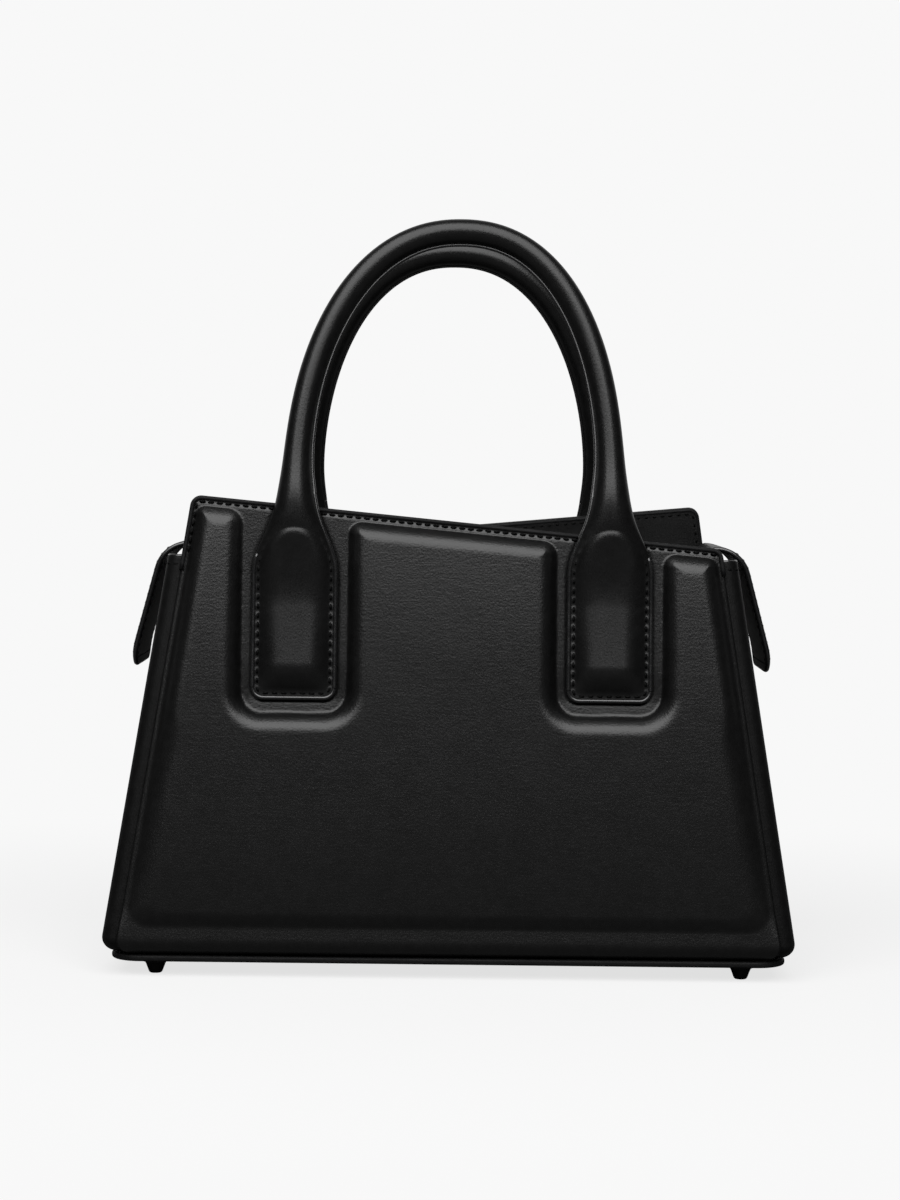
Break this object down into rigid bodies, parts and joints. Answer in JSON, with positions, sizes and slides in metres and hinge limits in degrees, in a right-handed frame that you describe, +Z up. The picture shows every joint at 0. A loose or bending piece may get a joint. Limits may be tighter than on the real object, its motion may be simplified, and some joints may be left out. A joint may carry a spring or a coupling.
{
  "type": "tote bag",
  "caption": "Small structured leather tote with padded panels, rolled top handles on stitched tabs, a zip band with loose end tabs, and metal feet.",
  "frame": {"origin": "on the floor, midway between the feet", "axes": "+Z up; the front panel looks along -Y; +X is the right end seen from the front"},
  "size_m": [0.2698, 0.125, 0.2964],
  "materials": {
    "panel_leather": "black smooth leather with a fine grain, semi-matte, painted edges",
    "gusset_leather": "black smooth leather with a fine grain, semi-matte, painted edges",
    "facing_leather": "black smooth leather, semi-matte",
    "handle_leather": "black smooth leather rolled round a cord, slight sheen",
    "tab_leather": "black smooth leather, stitched, glossy painted edge",
    "band_leather": "black smooth leather, painted edges",
    "base_leather": "black leather, painted edge",
    "puller_leather": "black leather strap, painted edges",
    "lining_cloth": "dark woven lining cloth",
    "tape_cloth": "black woven zip tape",
    "cord_core": "twisted cord",
    "padding_foam": "thin soft foam",
    "stiffener_board": "bonded leather board",
    "teeth_metal": "black plated metal",
    "slider_metal": "black plated metal",
    "foot_metal": "glossy black metal",
    "washer_metal": "plain steel"
  },
  "bodies": {
    "bag": {"back_facing": "facing_leather", "back_left_foot": "foot_metal", "back_left_handle_tab": "tab_leather", "back_left_tab_filler": "padding_foam", "back_left_washer": "washer_metal", "back_lining": "lining_cloth", "back_padding": "padding_foam", "back_panel": "panel_leather", "back_right_foot": "foot_metal", "back_right_handle_tab": "tab_leather", "back_right_tab_filler": "padding_foam", "back_right_washer": "washer_metal", "back_stiffener": "stiffener_board", "base_board": "stiffener_board", "base_panel": "base_leather", "floor_lining": "lining_cloth", "front_facing": "facing_leather", "front_left_foot": "foot_metal", "front_left_handle_tab": "tab_leather", "front_left_tab_filler": "padding_foam", "front_left_washer": "washer_metal", "front_lining": "lining_cloth", "front_padding": "padding_foam", "front_panel": "panel_leather", "front_right_foot": "foot_metal", "front_right_handle_tab": "tab_leather", "front_right_tab_filler": "padding_foam", "front_right_washer": "washer_metal", "front_stiffener": "stiffener_board", "left_gusset": "gusset_leather", "left_lining": "lining_cloth", "left_zip_end": "band_leather", "right_gusset": "gusset_leather", "right_lining": "lining_cloth", "right_zip_end": "band_leather", "zip_end_tape": "tape_cloth", "zip_end_teeth_back": "teeth_metal", "zip_end_teeth_front": "teeth_metal", "zip_stop": "teeth_metal"},
    "front_handle": {"front_handle": "handle_leather", "front_handle_core": "cord_core"},
    "back_handle": {"back_handle": "handle_leather", "back_handle_core": "cord_core"},
    "left_end_tab": {"left_end_tab": "band_leather"},
    "right_end_tab": {"right_end_tab": "band_leather"},
    "front_strip": {"front_zip_strip": "band_leather", "front_zip_tape": "tape_cloth", "front_zip_teeth": "teeth_metal"},
    "back_strip": {"back_zip_strip": "band_leather", "back_zip_tape": "tape_cloth", "back_zip_teeth": "teeth_metal"},
    "slider": {"zip_slider": "slider_metal"},
    "puller": {"zip_puller": "puller_leather"}
  },
  "joints": [
    {"name": "front_handle_tilt", "type": "hinge", "parent": "bag", "child": "front_handle", "pos_m": [0, -0.04591, 0.18837], "axis": [1, 0, 0], "range_deg": [-11, 50]},
    {"name": "back_handle_tilt", "type": "hinge", "parent": "bag", "child": "back_handle", "pos_m": [0, 0.04633, 0.18439], "axis": [-1, 0, 0], "range_deg": [-11, 50]},
    {"name": "left_end_tab_lift", "type": "hinge", "parent": "bag", "child": "left_end_tab", "pos_m": [-0.10471, 0, 0.1676], "axis": [0, 1, 0], "range_deg": [0, 80]},
    {"name": "right_end_tab_lift", "type": "hinge", "parent": "bag", "child": "right_end_tab", "pos_m": [0.10471, 0, 0.1676], "axis": [0, -1, 0], "range_deg": [0, 80]},
    {"name": "front_strip_fold", "type": "hinge", "parent": "bag", "child": "front_strip", "pos_m": [0, -0.03838, 0.16255], "axis": [-1, 0, 0], "range_deg": [0, 80]},
    {"name": "back_strip_fold", "type": "hinge", "parent": "bag", "child": "back_strip", "pos_m": [0, 0.03838, 0.16255], "axis": [1, 0, 0], "range_deg": [0, 80]},
    {"name": "zip_slider_slide", "type": "slide", "parent": "bag", "child": "slider", "axis": [-1, 0, 0], "range_m": [-0.16, 0]},
    {"name": "zip_puller_lift", "type": "hinge", "parent": "slider", "child": "puller", "pos_m": [-0.08801, 0, 0.1649], "axis": [0, -1, 0], "range_deg": [0, 140]}
  ]
}
